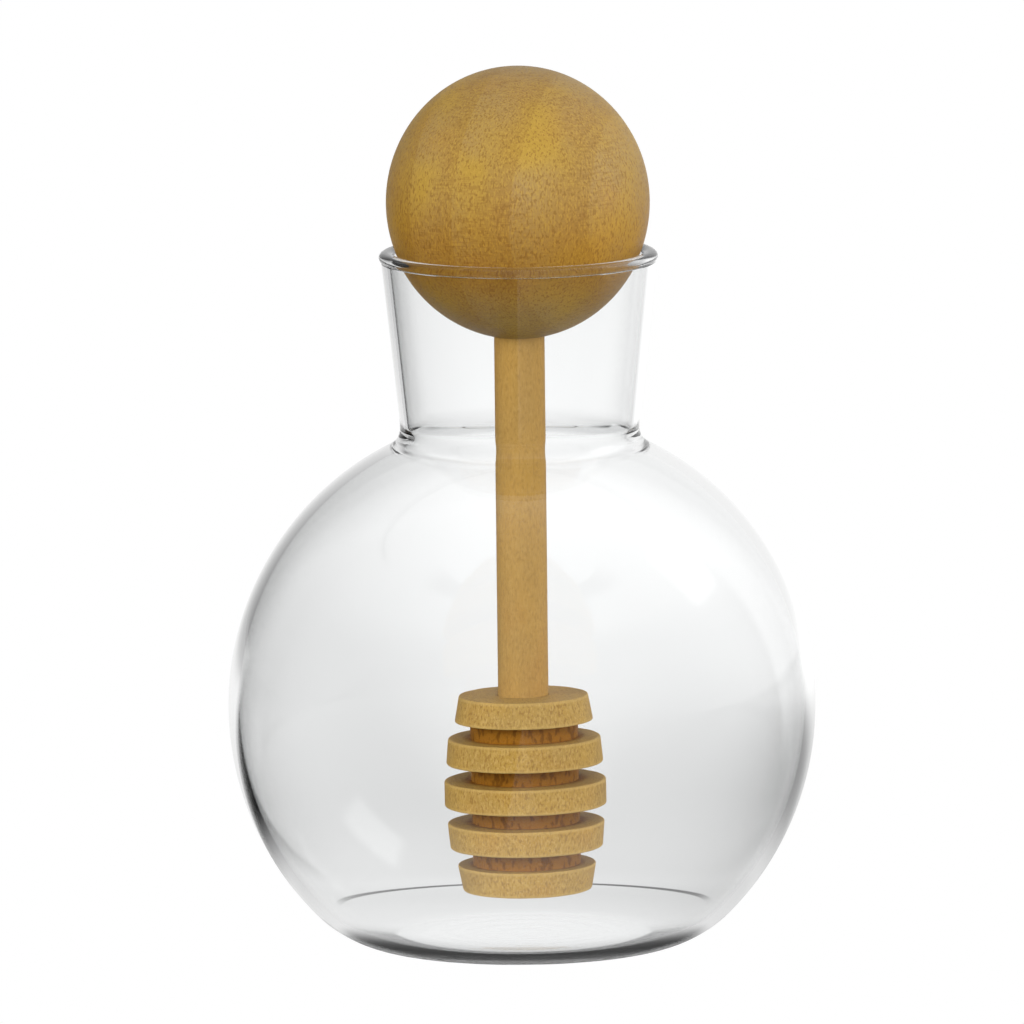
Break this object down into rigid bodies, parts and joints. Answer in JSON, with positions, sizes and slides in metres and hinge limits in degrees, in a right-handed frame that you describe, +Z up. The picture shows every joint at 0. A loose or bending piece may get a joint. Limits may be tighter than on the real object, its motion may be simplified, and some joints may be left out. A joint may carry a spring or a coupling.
{
  "type": "honey pot with dipper",
  "caption": "Round clear glass pot with a flared neck, closed by a wooden ball stopper that carries a grooved honey dipper.",
  "frame": {"origin": "centre of the pot's flat foot, on the surface it stands on", "axes": "+Z up along the neck's axis, -Y towards the viewer, +X to the viewer's right"},
  "size_m": [0.1, 0.1, 0.1509],
  "materials": {
    "glass": "clear, polished",
    "ball_wood": "fine sanded, satin",
    "stem_wood": "sanded, matt",
    "head_wood": "turned, matt"
  },
  "bodies": {
    "root": {"glass_pot": "glass", "ball": "ball_wood", "stem": "stem_wood", "dipper_head": "head_wood"}
  },
  "joints": []
}
